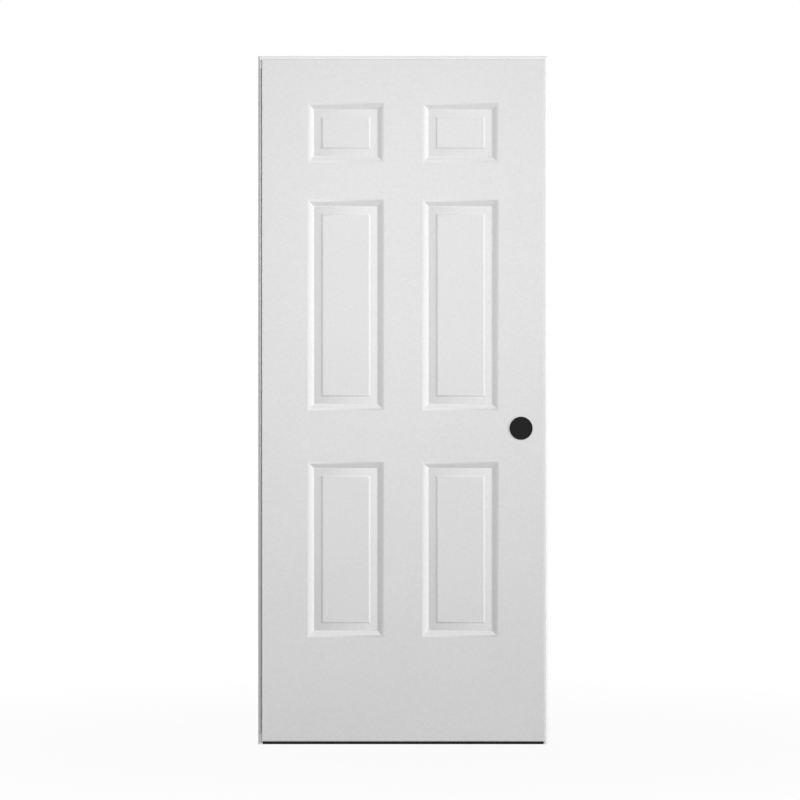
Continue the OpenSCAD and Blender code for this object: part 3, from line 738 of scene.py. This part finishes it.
# %% Give every piece and CAD node its finish
FINISHES = [
    (leaf_paint, [outer, inner]),
    (frame_coat, ["head", "hinge_jamb", "strike_jamb"]),
    (sill_bronze, ["sill"]),
    (zinc, ["hinge_frame_plate", "hinge_leaf_plate", "hinge_pin", "sill_screws", *screws]),
    (alloy, ["corner_key_hinge", "corner_key_strike"]),
    (upright_wood, ["hinge_stile", "lock_stile", "lock_block"]),
    (level_wood, ["top_rail", "bottom_rail"]),
    (foam, ["foam_core"]),
    (upright_rubber, ["seal_hinge", "seal_strike"]),
    (level_rubber, ["seal_head", "seal_sill"]),
    (cover_plastic, [cover_outer, cover_inner]),
]
for finish, pieces in FINISHES:
    for piece in pieces:
        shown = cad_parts[piece] if isinstance(piece, str) else piece
        shown.data.materials.clear()
        shown.data.materials.append(finish.material)
    print(finish.material.name, "on", len(pieces), "pieces")

# %% [markdown]
# ## Floor, light and camera
#
# The photo is a plain product picture: white all round, light from the right and the front, and a
# long lens, so that no edge converges. The floor is pale and keeps a trace of the door's shadow. It
# could be made white by more lamps, but they would burn out the door, so for what the camera sees
# most of the floor's light is its own.

# %% Floor and world
FLOOR_SIZE, FLOOR_Z = 80, -0.3 * MM
FLOOR_DULL, FLOOR_BRIGHT = grey(0.30), grey(0.34)
NEAR_SHARE, FADE_FROM, FADE_TO = 0.94, 0.5, 2.2
scene = bpy.context.scene
scene.view_settings.view_transform = "Standard"

deselect()
bpy.ops.mesh.primitive_plane_add(size=FLOOR_SIZE, location=(0, 0, FLOOR_Z))
floor = settle("floor")

ground = Finish("pale_floor", Roughness=0.9, Specular_IOR_Level=0.1)
ground.colour(ground.mix(ground.noise(3.0, 3.0), FLOOR_DULL, FLOOR_BRIGHT))
away = ground.node("VectorMath", {"operation": "LENGTH"}, {0: ground.place}, out="Value")
share = NEAR_SHARE + (1 - NEAR_SHARE) * ground.steps(away, FADE_FROM, FADE_TO)
glow = ground.node("Emission", None, {"Color": (1, 1, 1, 1), "Strength": 1.0})
lit = Wire(ground, ground.shader.outputs[0])
both = ground.node("MixShader", None, {0: ground.seen() * share, 1: lit, 2: glow})
ground.plug(ground.tree.nodes["Material Output"].inputs["Surface"], both)
floor.data.materials.append(ground.material)

WORLD_LIGHT = 0.40
world = bpy.data.worlds.new("white_studio")
scene.world = world
sky = Network(world)
backdrop = sky.tree.nodes["Background"].inputs
sky.plug(backdrop["Color"], (1, 1, 1, 1))
dimmed = sky.node("MapRange", None, {"Value": sky.seen(), "To Min": WORLD_LIGHT})
sky.plug(backdrop["Strength"], dimmed)
print("floor", FLOOR_SIZE, "m wide, world light", WORLD_LIGHT)

# %% [markdown]
# The mouldings show only by light and shade. A low light that grazes the leaf from the right brings
# them out, and being a sun it is even from edge to edge. When the leaf stands open, its inner face is
# turned straight to that light and would burn out, so the light leaves the inner skin out: Blender's
# light linking does what a flag on a stand does in a studio. Soft lamps fill in from the front, from
# above and from behind. The front lamp stands near, so the leaf darkens towards the floor.

# %% Light from the right
SIDE_TURN, SIDE_HEIGHT, SIDE_ANGLE = math.radians(65), math.radians(10), math.radians(20)
SIDE_STRENGTH = 1.62
deselect()
bpy.ops.object.light_add(type="SUN", rotation=(QUARTER - SIDE_HEIGHT, 0, SIDE_TURN))
side_light = bpy.context.object
side_light.name = "light_right"
side_light.data.energy, side_light.data.angle = SIDE_STRENGTH, SIDE_ANGLE
take(side_light, inner)
bpy.ops.object.light_linking_receivers_link(link_state="EXCLUDE")
print(side_light.name, "leaves out", inner.name)

# %% Soft lamps: one in front, a long strip above on the right, and one for the back
SOFT_LAMPS = [
    ("light_front", (0, leaf_front - 2.2, 1.5), 0, (0.9, 0.6), 19.5),
    ("light_strip", (3, leaf_front - 2.2, 2.4), 0, (5.0, 0.5), 10.0),
    ("light_back", (-1.2, 3.0, 2.0), math.pi, (2.4, 1.6), 70.0),
]
for name, place, turn, (width, height), power in SOFT_LAMPS:
    deselect()
    bpy.ops.object.light_add(type="AREA", location=place, rotation=(QUARTER, 0, turn))
    soft_lamp = bpy.context.object
    soft_lamp.name = name
    soft_lamp.data.shape = "RECTANGLE"
    soft_lamp.data.size, soft_lamp.data.size_y, soft_lamp.data.energy = width, height, power
    soft_lamp.visible_camera = False
    print(name, power, "W")

# %% [markdown]
# The camera looks straight at the leaf. Its lens follows from how far away it stands and how much
# of the leaf's plane the picture shows across.

# %% Camera
CAMERA_AWAY, FRAME_WIDTH, SENSOR = 9.0, 2.24, 36.0
MIDDLE_X, MIDDLE_Z = -8.8 * MM, 965 * MM
deselect()
bpy.ops.object.camera_add(location=(MIDDLE_X, leaf_front - CAMERA_AWAY, MIDDLE_Z),
                          rotation=(QUARTER, 0, 0))
camera = bpy.context.object
camera.data.sensor_width = SENSOR
camera.data.lens = SENSOR * CAMERA_AWAY / FRAME_WIDTH
scene.camera = camera
print("lens", round(camera.data.lens, 1), "mm at", CAMERA_AWAY, "m")
